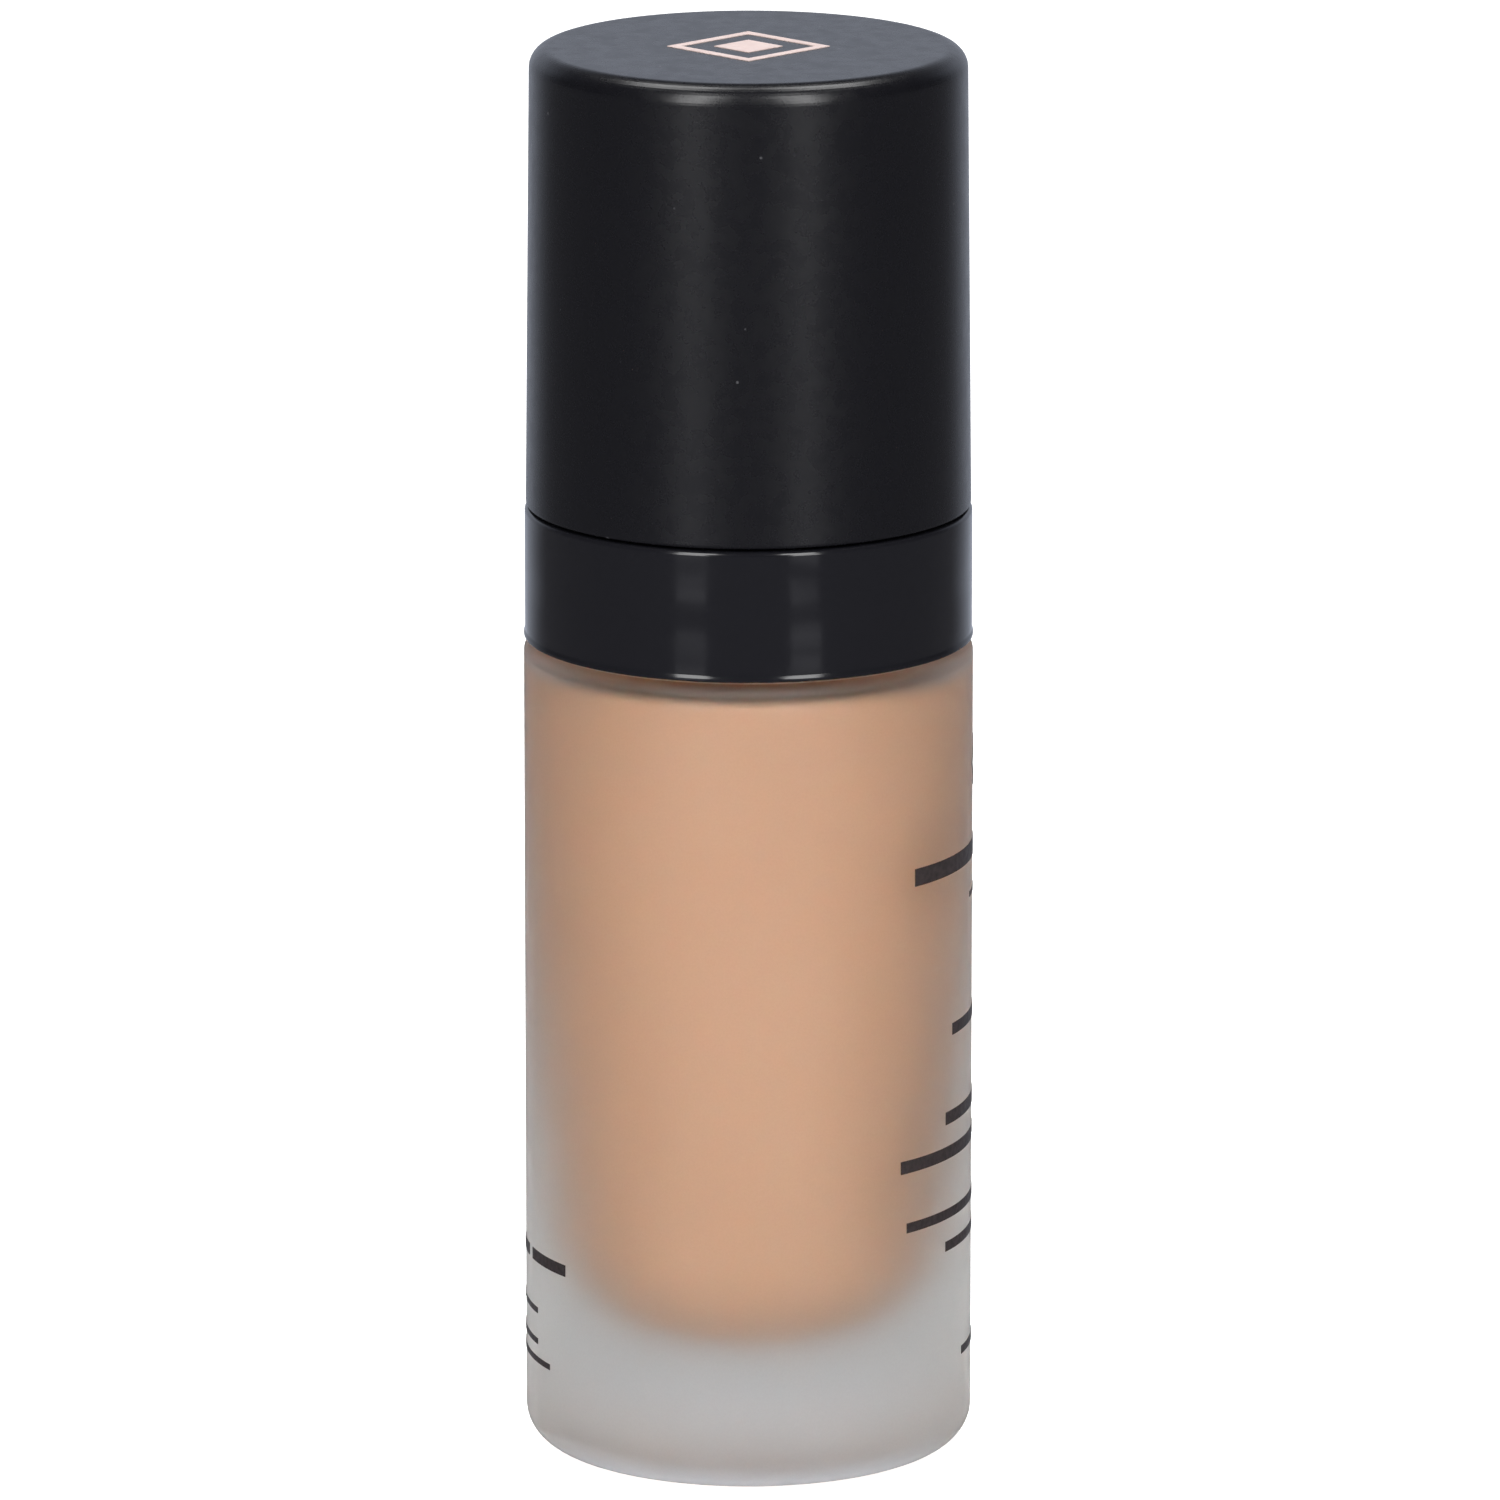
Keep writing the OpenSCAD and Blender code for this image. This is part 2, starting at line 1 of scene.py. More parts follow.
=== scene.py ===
"""Looks, light and camera for the foundation bottle. Outlines are in millimetres, the rest in metres."""
import bpy
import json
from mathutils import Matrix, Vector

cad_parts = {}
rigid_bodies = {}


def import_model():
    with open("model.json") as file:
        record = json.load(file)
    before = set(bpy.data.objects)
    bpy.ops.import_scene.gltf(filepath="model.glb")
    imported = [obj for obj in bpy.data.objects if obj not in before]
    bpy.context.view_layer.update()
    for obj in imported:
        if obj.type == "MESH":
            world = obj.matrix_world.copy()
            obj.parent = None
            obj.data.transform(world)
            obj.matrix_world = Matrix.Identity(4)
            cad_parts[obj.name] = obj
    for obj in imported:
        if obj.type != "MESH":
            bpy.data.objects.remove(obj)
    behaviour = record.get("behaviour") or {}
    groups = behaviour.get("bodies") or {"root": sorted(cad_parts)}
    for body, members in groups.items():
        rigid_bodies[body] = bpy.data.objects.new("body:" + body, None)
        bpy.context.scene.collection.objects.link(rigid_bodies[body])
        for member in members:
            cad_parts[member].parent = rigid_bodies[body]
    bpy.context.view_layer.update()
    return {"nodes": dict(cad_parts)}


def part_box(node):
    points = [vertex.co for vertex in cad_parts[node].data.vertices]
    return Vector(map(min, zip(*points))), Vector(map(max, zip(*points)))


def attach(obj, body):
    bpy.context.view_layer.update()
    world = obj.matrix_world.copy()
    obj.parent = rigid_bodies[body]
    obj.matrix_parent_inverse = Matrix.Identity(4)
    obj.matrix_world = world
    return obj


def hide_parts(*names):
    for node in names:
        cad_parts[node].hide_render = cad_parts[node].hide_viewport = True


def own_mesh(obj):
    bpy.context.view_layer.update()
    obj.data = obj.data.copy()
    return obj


for leftover in list(bpy.data.objects):
    bpy.data.objects.remove(leftover)
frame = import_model()

import json
import math

import bmesh
from mathutils import Matrix, Vector

MM = 0.001
TURN = 2 * math.pi

# The main view's camera: azimuth and elevation in degrees, distance and aim height in metres
CAMERA_AZIMUTH = 270
CAMERA_ELEVATION = 13.4
CAMERA_DISTANCE = 1.1423
CAMERA_AIM_Z = 0.0595
CAMERA_LENS_MM = 327
CAMERA_SENSOR_MM = 36
CAMERA_SHIFT_X = 0.001

# The lights: azimuths in degrees from the camera's, and the point that they face
BEHIND = CAMERA_AZIMUTH + 180
STRIP_SWING = 29
OVERHEAD_SWING = 124
MIDDLE = (0, 0, 0.06)

# Fineness of the turned meshes: steps round the axis, degrees an arc step, longest straight run in mm,
# and the angles above which an edge is sharp
SEGMENTS = 160
ARC_STEP_DEG = 5
LONGEST_RUN = 3.0
SHARP_DEG = 40
GLASS_SHARP_DEG = 35

# The floor: its radius and heights in metres, and the glow of the sheet that the camera sees
FLOOR_R = 8.0
FLOOR_GLOW = 0.75
SEEN_FLOOR_Z = -0.00001
UNDERFLOOR_Z = -0.0002


# ---- Sizes in millimetres, from the frame's boxes or the same as in the part ----

def box_mm(node):
    low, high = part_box(node)
    return [v / MM for v in low], [v / MM for v in high]


# The glass outside
BOTTLE_HIGH = box_mm("glass_bottle")[1]
BOTTLE_R = BOTTLE_HIGH[0]
LIP_Z = BOTTLE_HIGH[2]
NECK_H = 8.8
BODY_H = LIP_Z - NECK_H
NECK_R = 8.75
HEEL_R = 3.0
SHOULDER_R = 1.2
FOOT_IN_R = 13.4
FOOT_SLOPE = 0.9
PUSH_UP = 0.8

# The thread on the neck
THREAD_R = 9.85
PITCH = 3.175
THREAD_START_Z = BODY_H + 1.9
THREAD_TURNS = 1.5
THREAD_STEPS_PER_TURN = 96
THREAD_RUN_IN_DEG = 45
THREAD_ROOT_HALF = 1.1
THREAD_TIP_HALF = 0.45
THREAD_SUNK = 0.35

# The cavity
BORE_R = 6.0
FLOOR_Z = box_mm("foundation_fill")[0][2]
CAVITY_LOW_R = 10.9
CAVITY_HIGH_R = 16.0
CAVITY_CORNER_R = 1.2
CAVITY_FLOOR_R = 8.4
SHOULDER_T = 1.2
CAVITY_TOP_SLOPE = 0.6
CAVITY_TOP_Z = BODY_H - SHOULDER_T - CAVITY_TOP_SLOPE

# The pump in the liquid
HOUSING_R = 5.4
CHAMBER_LOW_Z = BODY_H - 18.6
CHAMBER_CONE_H = 3
SOCKET_R = 3.0
SOCKET_Z = BODY_H - 28.3
TUBE_LOW, TUBE_HIGH = box_mm("dip_tube")
SPRING_LOW, SPRING_HIGH = box_mm("return_spring")

# The liquid laps over the cavity's wall by WET and keeps STAND_OFF from the pump
WET = 0.02
STAND_OFF = 0.3


# ---- Mesh helpers ----

def rounded(corners):
    """The outline through corners (r, z), where (r, z, radius) is a corner rounded by an arc."""
    points = []
    n = len(corners)
    for i, corner in enumerate(corners):
        at = Vector(corner[:2])
        if len(corner) == 2:
            points.append(at)
            continue
        to_last = (Vector(corners[i - 1][:2]) - at).normalized()
        to_next = (Vector(corners[(i + 1) % n][:2]) - at).normalized()
        half = to_last.angle(to_next) / 2
        radius = corner[2]
        centre = at + (to_last + to_next).normalized() * (radius / math.sin(half))
        first = at + to_last * (radius / math.tan(half)) - centre
        last = at + to_next * (radius / math.tan(half)) - centre
        start = math.atan2(first.y, first.x)
        sweep = (math.atan2(last.y, last.x) - start + 3 * math.pi) % TURN - math.pi
        steps = max(3, math.ceil(abs(sweep) / math.radians(ARC_STEP_DEG)))
        for k in range(steps + 1):
            a = start + sweep * k / steps
            points.append(centre + Vector((math.cos(a), math.sin(a))) * radius)
    return points


def subdivided(points):
    """The closed outline with its long straight runs cut up, so that the quads stay near square."""
    result = []
    for a, b in zip(points, points[1:] + points[:1]):
        result.append(a)
        if a.x < 1e-6 and b.x < 1e-6:
            continue
        pieces = max(1, math.ceil((b - a).length / LONGEST_RUN))
        result += [a.lerp(b, k / pieces) for k in range(1, pieces)]
    return result


def polar(r, angle, z):
    """A point in metres from a radius and a height in millimetres and an angle in radians."""
    return (r * MM * math.cos(angle), r * MM * math.sin(angle), z * MM)


def lathe(name, corners):
    """A closed solid of revolution about Z from an outline in millimetres."""
    bm = bmesh.new()
    rings = []
    for p in subdivided(rounded(corners)):
        if p.x < 1e-6:
            rings.append([bm.verts.new((0, 0, p.y * MM))])
        else:
            rings.append([bm.verts.new(polar(p.x, TURN * k / SEGMENTS, p.y)) for k in range(SEGMENTS)])
    for low, high in zip(rings, rings[1:] + rings[:1]):
        if len(low) == 1 and len(high) == 1:
            continue
        for k in range(SEGMENTS):
            n = (k + 1) % SEGMENTS
            if len(low) == 1:
                bm.faces.new((low[0], high[k], high[n]))
            elif len(high) == 1:
                bm.faces.new((low[k], high[0], low[n]))
            else:
                bm.faces.new((low[k], high[k], high[n], low[n]))
    return mesh_object(name, bm)


def smooth(mesh, sharp_deg):
    """Smooth faces, with edges sharp above an angle."""
    mesh.shade_smooth()
    mesh.set_sharp_from_angle(angle=math.radians(sharp_deg))


def mesh_object(name, bm):
    """A bmesh as an object with outward normals."""
    bmesh.ops.recalc_face_normals(bm, faces=bm.faces[:])
    mesh = bpy.data.meshes.new(name)
    bm.to_mesh(mesh)
    bm.free()
    smooth(mesh, SHARP_DEG)
    obj = bpy.data.objects.new(name, mesh)
    bpy.context.scene.collection.objects.link(obj)
    return obj


def swept(rings):
    """A bmesh through rings that have the same number of points, capped at both ends."""
    bm = bmesh.new()
    loops = [[bm.verts.new(p) for p in ring] for ring in rings]
    for low, high in zip(loops, loops[1:]):
        for k in range(len(low)):
            n = (k + 1) % len(low)
            bm.faces.new((low[k], high[k], high[n], low[n]))
    bm.faces.new(loops[0])
    bm.faces.new(loops[-1])
    return bm


def applied(obj):
    """Bakes obj's modifiers into its mesh."""
    bpy.context.view_layer.update()
    graph = bpy.context.evaluated_depsgraph_get()
    mesh = bpy.data.meshes.new_from_object(obj.evaluated_get(graph))
    obj.modifiers.clear()
    obj.data = mesh
    return obj


# ---- Material helpers ----

def material(name, colour, roughness, **sockets):
    """A Principled material with its uniform numbers on the sockets."""
    mat = bpy.data.materials.new(name)
    mat.use_nodes = True
    inputs = shader_of(mat).inputs
    inputs["Base Color"].default_value = (*colour, 1)
    inputs["Roughness"].default_value = roughness
    for key, value in sockets.items():
        inputs[key.replace("_", " ")].default_value = value
    return mat


def node(mat, kind, **settings):
    made = mat.node_tree.nodes.new(kind)
    for key, value in settings.items():
        setattr(made, key, value)
    return made


def link(mat, out_socket, in_socket):
    mat.node_tree.links.new(out_socket, in_socket)


def shader_of(mat):
    return mat.node_tree.nodes["Principled BSDF"]


def position(mat, scale=(1, 1, 1)):
    """The point on the surface in the object's own frame, in metres, stretched by scale."""
    coords = node(mat, "ShaderNodeTexCoord")
    mapping = node(mat, "ShaderNodeMapping")
    mapping.inputs["Scale"].default_value = scale
    link(mat, coords.outputs["Object"], mapping.inputs["Vector"])
    return mapping.outputs["Vector"]


def noise(mat, scale, detail=3, stretch=(1, 1, 1), roughness=0.5):
    made = node(mat, "ShaderNodeTexNoise")
    made.inputs["Scale"].default_value = scale
    made.inputs["Detail"].default_value = detail
    made.inputs["Roughness"].default_value = roughness
    link(mat, position(mat, stretch), made.inputs["Vector"])
    return made.outputs["Fac"]


def mapped(mat, value, from_low, from_high, to_low, to_high):
    """A value carried from one range to another, and held at its ends."""
    made = node(mat, "ShaderNodeMapRange")
    made.inputs["From Min"].default_value = from_low
    made.inputs["From Max"].default_value = from_high
    made.inputs["To Min"].default_value = to_low
    made.inputs["To Max"].default_value = to_high
    link(mat, value, made.inputs["Value"])
    return made.outputs["Result"]


def vary_roughness(mat, value, low, high, from_low=0.3, from_high=0.7):
    link(mat, mapped(mat, value, from_low, from_high, low, high), shader_of(mat).inputs["Roughness"])


def vary_colour(mat, value, low, high, from_low=0.3, from_high=0.7):
    ramp = node(mat, "ShaderNodeValToRGB")
    ramp.color_ramp.elements[0].position = from_low
    ramp.color_ramp.elements[0].color = (*low, 1)
    ramp.color_ramp.elements[1].position = from_high
    ramp.color_ramp.elements[1].color = (*high, 1)
    link(mat, value, ramp.inputs["Fac"])
    link(mat, ramp.outputs["Color"], shader_of(mat).inputs["Base Color"])


def bumped(mat, value, height, strength=1.0):
    """Bump from a 0 to 1 value, where height is in metres."""
    bump = node(mat, "ShaderNodeBump")
    bump.inputs["Strength"].default_value = strength
    bump.inputs["Distance"].default_value = height
    link(mat, value, bump.inputs["Height"])
    link(mat, bump.outputs["Normal"], shader_of(mat).inputs["Normal"])


# ---- Materials ----

def collar_shade_mask(mat):
    """Mask for the painted shade under the collar: 1 on the rounded edge of the shoulder, fading to 0
    down the wall and at once on the flat top.
    """
    height = node(mat, "ShaderNodeSeparateXYZ")
    link(mat, position(mat), height.inputs["Vector"])
    fade_from = BODY_H - SHOULDER_R - 0.2
    full_from = BODY_H - 0.1
    full_to = BODY_H - 0.09
    gone_by = BODY_H - 0.01
    rising = mapped(mat, height.outputs["Z"], fade_from * MM, full_from * MM, 0, 1)
    falling = mapped(mat, height.outputs["Z"], full_to * MM, gone_by * MM, 1, 0)
    both = node(mat, "ShaderNodeMath", operation="MULTIPLY")
    link(mat, rising, both.inputs[0])
    link(mat, falling, both.inputs[1])
    return both.outputs["Value"]


def frosted_glass():
    """Acid-etched with a fine grain, and a warm brown painted shade on the shoulder's edge where the
    collar's shadow falls.
    """
    mat = material("frosted_glass", (0.955, 0.965, 0.95), 0.55, Transmission_Weight=1.0, IOR=1.5)
    vary_colour(mat, noise(mat, 5200, 2), (0.925, 0.935, 0.92), (0.985, 0.995, 0.98))
    plain = shader_of(mat).inputs["Base Color"].links[0].from_socket
    # Painted shade: multiplies the glass colour towards dark brown on the shoulder's edge, under the
    # collar
    painted_collar_shade = node(mat, "ShaderNodeMix", data_type="RGBA", blend_type="MULTIPLY")
    painted_collar_shade.inputs["B"].default_value = (0.38, 0.27, 0.22, 1)
    link(mat, collar_shade_mask(mat), painted_collar_shade.inputs["Factor"])
    link(mat, plain, painted_collar_shade.inputs["A"])
    link(mat, painted_collar_shade.outputs["Result"], shader_of(mat).inputs["Base Color"])
    vary_roughness(mat, noise(mat, 900, 2), 0.52, 0.58)
    bumped(mat, noise(mat, 4200, 2), 0.00002, 0.15)
    return mat


def clear_glass():
    """Fire-polished inner surface."""
    mat = material("clear_glass", (0.98, 0.985, 0.98), 0.02, Transmission_Weight=1.0, IOR=1.5)
    vary_roughness(mat, noise(mat, 220, 2), 0.01, 0.03)
    return mat


def liquid():
    mat = material(
        "foundation_liquid", (0.70, 0.43, 0.28), 0.45, Specular_IOR_Level=0.1,
        Subsurface_Weight=0.35, Subsurface_Scale=0.0012,
    )
    shader_of(mat).inputs["Subsurface Radius"].default_value = (1.0, 0.45, 0.25)
    vary_colour(mat, noise(mat, 90, 4, (1, 1, 0.35)), (0.690, 0.415, 0.270), (0.720, 0.450, 0.300))
    return mat


def matte_black():
    """Fine spark-eroded texture with a little dust."""
    mat = material("cap_matte_black", (0.004, 0.004, 0.0055), 0.27, Specular_IOR_Level=0.5)
    dust = node(mat, "ShaderNodeTexVoronoi", feature="F1")
    dust.inputs["Scale"].default_value = 260
    link(mat, position(mat), dust.inputs["Vector"])
    vary_colour(mat, dust.outputs["Distance"], (0.06, 0.06, 0.065), (0.004, 0.004, 0.0055), 0.025, 0.04)
    vary_roughness(mat, noise(mat, 700, 3), 0.25, 0.30)
    bumped(mat, noise(mat, 5200, 3), 0.00002, 0.25)
    return mat


def gloss_black(name="collar_gloss_black"):
    """Moulded gloss with faint scuffs round it."""
    mat = material(name, (0.007, 0.007, 0.009), 0.07)
    scuffs = noise(mat, 120, 6, (1, 1, 9), 0.6)
    vary_roughness(mat, scuffs, 0.12, 0.17, 0.45, 0.72)
    bumped(mat, noise(mat, 90, 1, (1, 1, 2)), 0.00015)
    return mat


def closure_black():
    mat = material("closure_black", (0.020, 0.020, 0.023), 0.38)
    vary_roughness(mat, noise(mat, 500, 3), 0.34, 0.44)
    bumped(mat, noise(mat, 1800, 2), 0.00002, 0.3)
    return mat


def liner_black():
    mat = material("liner_black", (0.028, 0.028, 0.032), 0.3)
    vary_roughness(mat, noise(mat, 400, 3, (1, 1, 0.2)), 0.26, 0.36)
    bumped(mat, noise(mat, 1500, 2), 0.00002, 0.2)
    return mat


def natural_plastic():
    mat = material(
        "natural_plastic", (0.80, 0.82, 0.80), 0.32,
        Subsurface_Weight=0.3, Subsurface_Scale=0.001,
    )
    vary_colour(mat, noise(mat, 300, 3), (0.78, 0.80, 0.775), (0.83, 0.845, 0.83))
    vary_roughness(mat, noise(mat, 600, 2), 0.28, 0.38)
    bumped(mat, noise(mat, 1400, 2), 0.00002, 0.2)
    return mat


def piston_white():
    mat = material(
        "piston_white", (0.88, 0.88, 0.87), 0.28,
        Subsurface_Weight=0.2, Subsurface_Scale=0.0008,
    )
    vary_roughness(mat, noise(mat, 700, 2), 0.24, 0.34)
    bumped(mat, noise(mat, 1600, 2), 0.00002, 0.15)
    return mat


def foam():
    mat = material("gasket_foam", (0.86, 0.86, 0.84), 0.85)
    cells = node(mat, "ShaderNodeTexVoronoi", feature="F1")
    cells.inputs["Scale"].default_value = 3200
    link(mat, position(mat), cells.inputs["Vector"])
    vary_colour(mat, cells.outputs["Distance"], (0.74, 0.74, 0.72), (0.90, 0.90, 0.88), 0.1, 0.5)
    bumped(mat, cells.outputs["Distance"], 0.00008, 0.6)
    return mat


def stainless():
    mat = material("stainless", (0.62, 0.62, 0.63), 0.2, Metallic=1.0)
    vary_roughness(mat, noise(mat, 900, 3, (1, 1, 0.1)), 0.14, 0.26)
    bumped(mat, noise(mat, 3000, 2, (1, 1, 0.1)), 0.00001, 0.2)
    return mat


def ink():
    mat = material("print_ink", (0.030, 0.022, 0.022), 0.55)
    vary_colour(mat, noise(mat, 2600, 3), (0.024, 0.018, 0.018), (0.046, 0.034, 0.034))
    vary_roughness(mat, noise(mat, 1800, 2), 0.48, 0.62)
    return mat


def label_film():
    mat = material("label_film", (0.86, 0.86, 0.85), 0.3)
    vary_roughness(mat, noise(mat, 150, 3), 0.24, 0.38)
    bumped(mat, noise(mat, 120, 2), 0.00005, 0.2)
    return mat


def foil():
    """Hot-stamped rose-gold foil, a little pressed into the plastic's texture."""
    mat = material("rose_foil", (0.90, 0.72, 0.67), 0.5, Metallic=0.35)
    vary_colour(mat, noise(mat, 900, 3), (0.86, 0.67, 0.62), (0.93, 0.76, 0.71))
    vary_roughness(mat, noise(mat, 1300, 3), 0.42, 0.55)
    bumped(mat, noise(mat, 3600, 3), 0.00001, 0.1)
    return mat


# ---- Pieces ----

def lines_cavity(point):
    """Whether a point of the glass's surface is on the inside: in the bore or in the cavity under it."""
    r = math.hypot(point.x, point.y) / MM
    z = point.z / MM
    in_bore = r < BORE_R + 0.05
    in_body = r < CAVITY_HIGH_R + 0.1 and z < BODY_H - 1
    return z > FLOOR_Z - 0.001 and (in_bore or in_body)


def glass_bottle(outer, inner):
    """The bottle with its thick base and threaded neck, frosted outside and clear inside."""
    body = lathe("bottle_glass", [
        (0, PUSH_UP),
        (FOOT_IN_R - FOOT_SLOPE, PUSH_UP, 0.6),
        (FOOT_IN_R, 0, 0.3),
        (BOTTLE_R, 0, HEEL_R),
        (BOTTLE_R, BODY_H, SHOULDER_R),
        (NECK_R, BODY_H, 0.6),
        (NECK_R, LIP_Z, 0.4),
        (BORE_R, LIP_Z, 0.3),
        (BORE_R, BODY_H - SHOULDER_T, 1.2),
        (CAVITY_HIGH_R, CAVITY_TOP_Z, CAVITY_CORNER_R),
        (CAVITY_LOW_R, FLOOR_Z, CAVITY_FLOOR_R),
        (0, FLOOR_Z),
    ])
    ridge = neck_thread()
    union = body.modifiers.new("thread", "BOOLEAN")
    union.operation = "UNION"
    union.solver = "EXACT"
    union.object = ridge
    applied(body)
    bpy.data.objects.remove(ridge)
    body.data.materials.clear()
    body.data.materials.append(outer)
    body.data.materials.append(inner)
    for face in body.data.polygons:
        face.material_index = 1 if lines_cavity(face.center) else 0
    smooth(body.data, GLASS_SHARP_DEG)
    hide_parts("glass_bottle")
    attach(body, "bottle")
    return body


def neck_thread():
    """The helical ridge on the neck, which grows out of the wall at both ends."""
    rings = []
    steps = round(THREAD_TURNS * THREAD_STEPS_PER_TURN)
    run_in = math.radians(THREAD_RUN_IN_DEG)
    low_tip = NECK_R - 0.1
    root = NECK_R - THREAD_SUNK
    for i in range(steps + 1):
        a = THREAD_TURNS * TURN * i / steps
        grown = min(1, a / run_in, (THREAD_TURNS * TURN - a) / run_in)
        tip = low_tip + (THREAD_R - low_tip) * grown
        z = THREAD_START_Z + PITCH * a / TURN
        rings.append([
            polar(root, a, z - THREAD_ROOT_HALF),
            polar(tip, a, z - THREAD_TIP_HALF),
            polar(tip, a, z + THREAD_TIP_HALF),
            polar(root, a, z + THREAD_ROOT_HALF),
        ])
    return mesh_object("thread_tool", swept(rings))


def foundation(mat):
    """The liquid up to the shoulder, with a rim along the wall and a hollow for the pump."""
    top_z = CAVITY_TOP_Z + WET
    low_top_z = top_z - 0.4
    housing_r = HOUSING_R + STAND_OFF
    socket_r = SOCKET_R + STAND_OFF
    socket_z = SOCKET_Z - STAND_OFF
    tube_r = TUBE_HIGH[0] + STAND_OFF
    tube_end_z = TUBE_LOW[2] - STAND_OFF
    obj = lathe("foundation_liquid", [
        (0, FLOOR_Z - WET),
        (CAVITY_LOW_R + WET, FLOOR_Z - WET, CAVITY_FLOOR_R),
        (CAVITY_HIGH_R + WET, top_z, CAVITY_CORNER_R),
        (CAVITY_HIGH_R - 2.2, top_z, 0.5),
        (CAVITY_HIGH_R - 2.8, low_top_z, 0.4),
        (housing_r + 0.3, low_top_z, 0.3),
        (housing_r, low_top_z + 0.3, 0.05),
        (housing_r, CHAMBER_LOW_Z),
        (socket_r, CHAMBER_LOW_Z - CHAMBER_CONE_H),
        (socket_r, socket_z),
        (tube_r, socket_z),
        (tube_r, tube_end_z),
        (0, tube_end_z),
    ])
    obj.data.materials.append(mat)
    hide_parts("foundation_fill")
    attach(obj, "bottle")
    return obj


def return_spring(mat, turns=7, dead=1, wire_r=0.3, coil_r=3.3, sides=16, steps_per_turn=48):
    """A smooth coil with dead turns at both ends, squashed between the chamber's floor and the rod."""
    low = SPRING_LOW[2] + wire_r
    high = SPRING_HIGH[2] - wire_r
    closed_pitch = 2 * wire_r * 1.08
    round_wire = [TURN * j / sides for j in range(sides)]
    open_pitch = (high - low - 2 * dead * closed_pitch) / (turns - 2 * dead)
    rings = []
    for i in range(turns * steps_per_turn + 1):
        turn = i / steps_per_turn
        if turn < dead:
            z = low + turn * closed_pitch
        elif turn > turns - dead:
            z = high - (turns - turn) * closed_pitch
        else:
            z = low + dead * closed_pitch + (turn - dead) * open_pitch
        a = TURN * turn
        rings.append([
            polar(coil_r + wire_r * math.cos(b), a, z + wire_r * math.sin(b))
            for b in round_wire
        ])
    obj = mesh_object("return_spring_coil", swept(rings))
    obj.data.materials.append(mat)
    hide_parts("return_spring")
    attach(obj, "pump_insert")
    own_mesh(obj)
    return obj


def paint(mat, *nodes):
    """Gives CAD nodes a material."""
    for name in nodes:
        slots = frame["nodes"][name].data.materials
        slots.clear()
        slots.append(mat)


glass_bottle(frosted_glass(), clear_glass())
foundation(liquid())
steel = stainless()
return_spring(steel)
paint(steel, "inlet_ball")
paint(label_film(), "base_sticker")
paint(ink(), "front_print", "back_print")
paint(foam(), "neck_gasket")
paint(natural_plastic(), "pump_housing", "pump_retainer", "dip_tube", "pump_stem")
paint(piston_white(), "piston", "piston_rod")
paint(closure_black(), "screw_closure")
paint(gloss_black(), "collar_shroud")
paint(gloss_black("actuator_gloss_black"), "actuator_core", "actuator_shell")
paint(matte_black(), "cap_shell")
paint(liner_black(), "cap_liner")
paint(foil(), "cap_emblem")


# ---- Floor, light and camera ----

def direction(azimuth_deg, elevation_deg):
    """Unit vector from the object towards that azimuth and elevation."""
    a = math.radians(azimuth_deg)
    e = math.radians(elevation_deg)
    return Vector((math.sin(a) * math.cos(e), -math.cos(a) * math.cos(e), math.sin(e)))


def aim(obj, target):
    obj.rotation_euler = (Vector(target) - obj.location).to_track_quat("-Z", "Y").to_euler()


def floor_sheet(name, z, albedo, glow):
    bm = bmesh.new()
    lowered = Matrix.Translation((0, 0, z))
    bmesh.ops.create_circle(bm, cap_ends=True, radius=FLOOR_R, segments=96, matrix=lowered)
    obj = mesh_object(name, bm)
    mat = material(name, (albedo, albedo, albedo), 0.9, Specular_IOR_Level=0.1, Emission_Strength=glow)
    shader_of(mat).inputs["Emission Color"].default_value = (1, 1, 1, 1)
    vary_roughness(mat, noise(mat, 4, 2), 0.88, 0.95)
    obj.data.materials.append(mat)
    return obj


def floor():
    """A pale sheet that the camera sees, over a darker one that lights the object from below."""
    seen = floor_sheet("studio_floor", SEEN_FLOOR_Z, 0.8, FLOOR_GLOW)
    seen.visible_glossy = False
    seen.visible_transmission = False
    seen.visible_diffuse = False
    seen.visible_shadow = False
    under = floor_sheet("studio_underfloor", UNDERFLOOR_Z, 0.44, 0)
    under.visible_glossy = False


def area_light(name, location, size, power, colour=(1, 1, 1), **visibility):
    """A rectangle of light that faces the middle of the object."""
    data = bpy.data.lights.new(name, "AREA")
    data.shape = "RECTANGLE"
    data.size = size[0]
    data.size_y = size[1]
    data.energy = power
    data.color = colour
    obj = bpy.data.objects.new(name, data)
    obj.location = location
    aim(obj, MIDDLE)
    for key, value in visibility.items():
        setattr(obj, key, value)
    bpy.context.scene.collection.objects.link(obj)
    return obj


def only_lights(light, *names):
    """Light linking: the light reaches these objects alone."""
    receivers = bpy.data.collections.new(light.name + "_receivers")
    for name in names:
        receivers.objects.link(bpy.data.objects[name])
    light.light_linking.receiver_collection = receivers


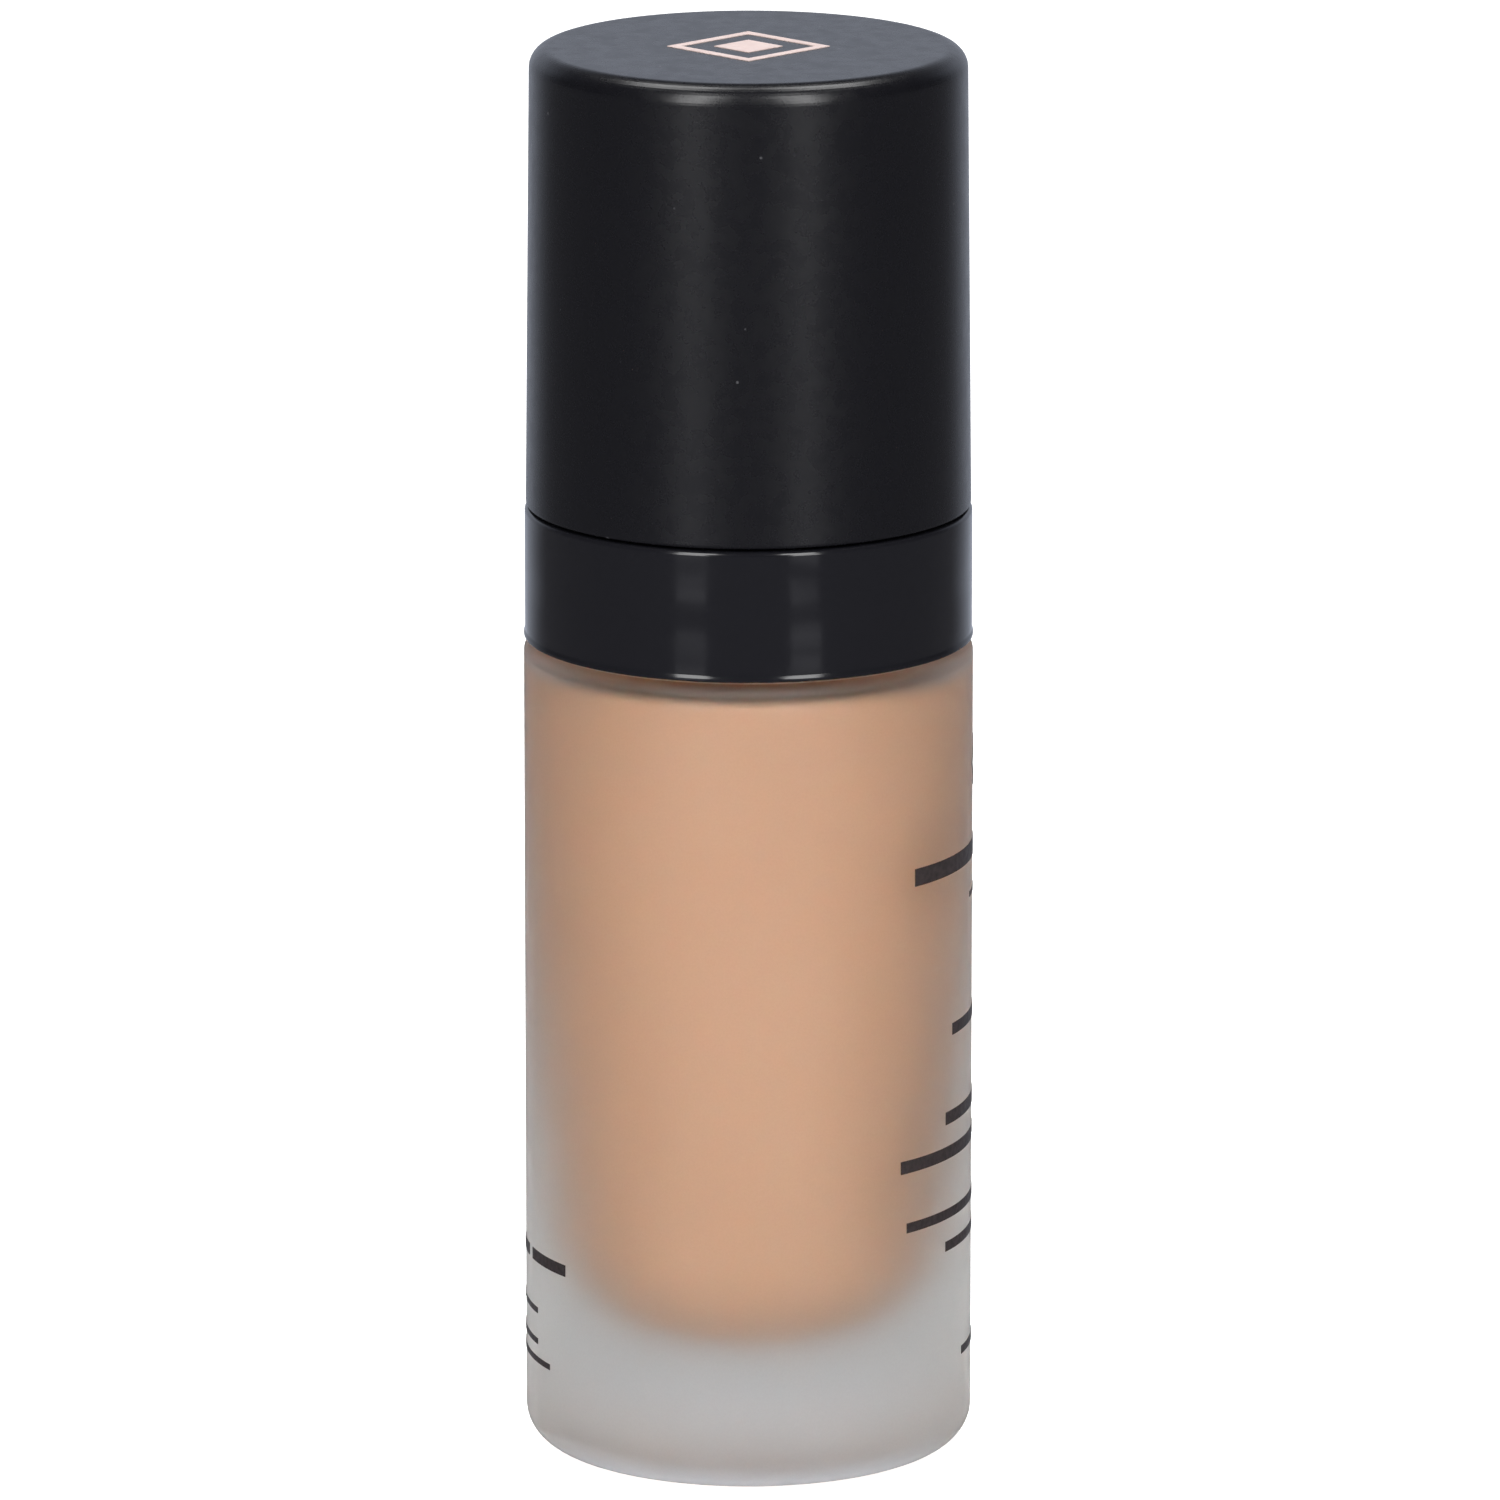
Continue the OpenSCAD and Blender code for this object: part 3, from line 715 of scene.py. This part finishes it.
def studio_world(table, room, back, shown):
    """A bright low backdrop behind the object, a dark table and room, and plain where seen directly."""
    world = bpy.data.worlds.new("studio")
    world.use_nodes = True
    bpy.context.scene.world = world
    nodes = world.node_tree.nodes
    links = world.node_tree.links
    coords = nodes.new("ShaderNodeTexCoord")
    dot = nodes.new("ShaderNodeVectorMath")
    dot.operation = "DOT_PRODUCT"
    dot.inputs[1].default_value = direction(BEHIND, 15)
    links.new(coords.outputs["Generated"], dot.inputs[0])
    height = nodes.new("ShaderNodeSeparateXYZ")
    links.new(coords.outputs["Generated"], height.inputs["Vector"])

    def ramp(value, low, high, to_low, to_high):
        made = nodes.new("ShaderNodeMapRange")
        made.interpolation_type = "SMOOTHSTEP"
        made.inputs["From Min"].default_value = low
        made.inputs["From Max"].default_value = high
        made.inputs["To Min"].default_value = to_low
        made.inputs["To Max"].default_value = to_high
        links.new(value, made.inputs["Value"])
        return made.outputs["Result"]

    def mix(factor, first, second):
        made = nodes.new("ShaderNodeMix")
        made.data_type = "RGBA"
        links.new(factor, made.inputs["Factor"])
        for key, colour in (("A", first), ("B", second)):
            if isinstance(colour, tuple):
                made.inputs[key].default_value = (*colour, 1)
            else:
                links.new(colour, made.inputs[key])
        return made.outputs["Result"]

    backdrop = nodes.new("ShaderNodeMath")
    backdrop.operation = "MULTIPLY"
    links.new(ramp(dot.outputs["Value"], 0.5, 0.9, 0, 1), backdrop.inputs[0])
    links.new(ramp(height.outputs["Z"], 0.25, 0.62, 1, 0), backdrop.inputs[1])
    surroundings = mix(ramp(height.outputs["Z"], -0.15, 0.1, 0, 1), table, room)
    around = mix(backdrop.outputs["Value"], surroundings, back)
    seen = nodes.new("ShaderNodeLightPath")
    chosen = mix(seen.outputs["Is Camera Ray"], around, shown)
    links.new(chosen, nodes["Background"].inputs["Color"])


def camera():
    data = bpy.data.cameras.new("camera")
    data.lens = CAMERA_LENS_MM
    data.sensor_width = CAMERA_SENSOR_MM
    data.shift_x = CAMERA_SHIFT_X
    data.clip_end = 50
    obj = bpy.data.objects.new("camera", data)
    target = Vector((0, 0, CAMERA_AIM_Z))
    obj.location = target + direction(CAMERA_AZIMUTH, CAMERA_ELEVATION) * CAMERA_DISTANCE
    aim(obj, target)
    bpy.context.scene.collection.objects.link(obj)
    bpy.context.scene.camera = obj


def gloss_strip(name, azimuth, energy, piece):
    """A low, cool strip that shows only as a streak in the gloss of one piece."""
    strip = area_light(
        name, direction(azimuth, -13) * 0.9, (0.24, 0.16), energy, (0.93, 0.93, 1.0),
        visible_diffuse=False, visible_transmission=False, visible_camera=False,
    )
    only_lights(strip, piece)


floor()
studio_world(
    table=(0.135, 0.135, 0.15),
    room=(0.04, 0.04, 0.045),
    back=(0.52, 0.56, 0.66),
    shown=(1, 1, 1),
)

# Each light: its place as a direction times a distance, its width and height, and its power
for side in (-1, 1):
    strip_azimuth = CAMERA_AZIMUTH + side * STRIP_SWING
    area_light(f"strip_{side}", direction(strip_azimuth, 32) * 0.9, (0.24, 0.85), 4.4)
    gloss_strip(f"low_strip_{side}", strip_azimuth, 0.105, "cap_shell")
    gloss_strip(f"collar_strip_{side}", strip_azimuth, 0.07, "collar_shroud")
for side in (-1, 1):
    overhead_azimuth = CAMERA_AZIMUTH + side * OVERHEAD_SWING
    area_light(f"overhead_{side}", direction(overhead_azimuth, 71) * 1.2, (0.45, 0.42), 3.8)
area_light("back_fill", direction(BEHIND, 35) * 1.1, (1.6, 0.8), 1.8, visible_glossy=False)
area_light("front_fill", direction(CAMERA_AZIMUTH, 28) * 1.3, (2.0, 0.8), 10.5, visible_glossy=False)
camera()

scene = bpy.context.scene
scene.view_settings.view_transform = "Standard"
scene.view_settings.look = "None"
scene.cycles.use_denoising = True
